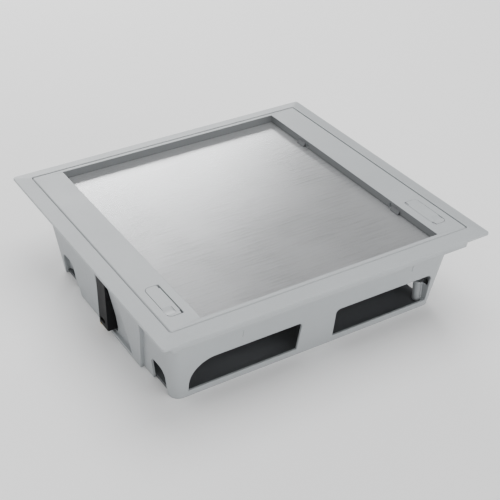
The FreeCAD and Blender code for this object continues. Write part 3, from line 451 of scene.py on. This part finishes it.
# Two short upright ridges on the front wall, which leans outwards towards the top.
WALL_LOW_Y, WALL_HIGH_Y = 109.2, 123.5
RIDGE_LENGTH, RIDGE_HALF_WIDTH, RIDGE_PROUD, RIDGE_ROOT = 6.0, 0.45, 0.45, 0.6
RIDGES = (("left_wall_ridge", -69.7, 50.5), ("right_wall_ridge", 93.8, 54.0))   # name, x, middle height
RIDGE_SECTION = ((-1, RIDGE_ROOT), (-1, -RIDGE_PROUD / 2), (-0.5, -RIDGE_PROUD), (0.5, -RIDGE_PROUD),
                 (1, -RIDGE_PROUD / 2), (1, RIDGE_ROOT))


def wall_y(z):
    """The front wall's outer face at a height."""
    return -(WALL_LOW_Y + (WALL_HIGH_Y - WALL_LOW_Y) * z / BODY_TOP)


for name, x, middle in RIDGES:
    verts = []
    for z in (middle - RIDGE_LENGTH / 2, middle + RIDGE_LENGTH / 2):
        for dx, dy in RIDGE_SECTION:
            verts.append((x + dx * RIDGE_HALF_WIDTH, wall_y(z) + dy, z))
    sides = [(k, (k + 1) % 6, (k + 1) % 6 + 6, k + 6) for k in range(6)]
    piece(name, verts, sides + [(5, 4, 3, 2, 1, 0), (6, 7, 8, 9, 10, 11)], "body_plastic", "box")

# ---- studio ---------------------------------------------------------------------------------------
MIDDLE = (0, 0, 0.04)


def area_light(name, place, width, height, power):
    """A white rectangle of light, aimed at the middle of the box."""
    light = bpy.data.lights.new(name, "AREA")
    light.shape, light.size, light.size_y, light.energy = "RECTANGLE", width, height, power
    obj = bpy.data.objects.new(name, light)
    obj.location = place
    obj.rotation_mode = "QUATERNION"
    obj.rotation_quaternion = (Vector(MIDDLE) - Vector(place)).to_track_quat("-Z", "Y")
    bpy.context.collection.objects.link(obj)


area_light("back_softbox", (0.36, 1.9, 0.84), 1.6, 0.45, 32)
area_light("overhead", (0.3, 0.05, 1.75), 1.4, 1.3, 20)
area_light("front_fill", (0.4, -1.7, 0.5), 1.5, 0.7, 12)

world = bpy.data.worlds.new("studio")
world.use_nodes = True
backdrop = world.node_tree.nodes["Background"]
backdrop.inputs["Color"].default_value = (1, 1, 1, 1)
# The room is dimmer towards the back right, so that metal shades off across its width.
DIM_TOWARDS, DIM_NEAR, DIM_FAR = Vector((0.75, 0.55, 0.37)).normalized(), 0.12, 1.0
DIM_START, DIM_END = 0.25, 0.95
sky_nodes, sky_links = world.node_tree.nodes, world.node_tree.links
sky_direction = sky_nodes.new("ShaderNodeTexCoord")
sky_dot = sky_nodes.new("ShaderNodeVectorMath")
sky_dot.operation = "DOT_PRODUCT"
sky_dot.inputs[1].default_value = DIM_TOWARDS
sky_level = sky_nodes.new("ShaderNodeMapRange")
for key, value in (("From Min", DIM_START), ("From Max", DIM_END), ("To Min", DIM_FAR), ("To Max", DIM_NEAR)):
    sky_level.inputs[key].default_value = value
sky_links.new(sky_direction.outputs["Generated"], sky_dot.inputs[0])
sky_links.new(sky_dot.outputs["Value"], sky_level.inputs["Value"])
sky_links.new(sky_level.outputs["Result"], backdrop.inputs["Strength"])
bpy.context.scene.world = world

ground = Finish("floor", (0.93, 0.93, 0.93), 0.8)
ground.to("Base Color", ground.blend(ground.noise(3, 3, 0.5), (0.92, 0.92, 0.92), (0.94, 0.94, 0.94)))
FLOOR_HALF = 6
mesh = bpy.data.meshes.new("floor")
mesh.from_pydata([(x * FLOOR_HALF, y * FLOOR_HALF, 0) for x, y in ((-1, -1), (1, -1), (1, 1), (-1, 1))],
                 [], [(0, 1, 2, 3)])
mesh.materials.append(ground.material)
floor = bpy.data.objects.new("floor", mesh)
bpy.context.collection.objects.link(floor)

HEADING, PITCH = math.radians(31.18), math.radians(33.14)
camera_data = bpy.data.cameras.new("camera")
camera_data.lens, camera_data.sensor_width = 80.08, 36.0
camera = bpy.data.objects.new("camera", camera_data)
camera.location = (-0.41785, -0.7044, 0.5718)
camera.rotation_mode = "QUATERNION"
look = Vector((math.sin(HEADING) * math.cos(PITCH), math.cos(HEADING) * math.cos(PITCH), -math.sin(PITCH)))
camera.rotation_quaternion = look.to_track_quat("-Z", "Y")
bpy.context.collection.objects.link(camera)
bpy.context.scene.camera = camera
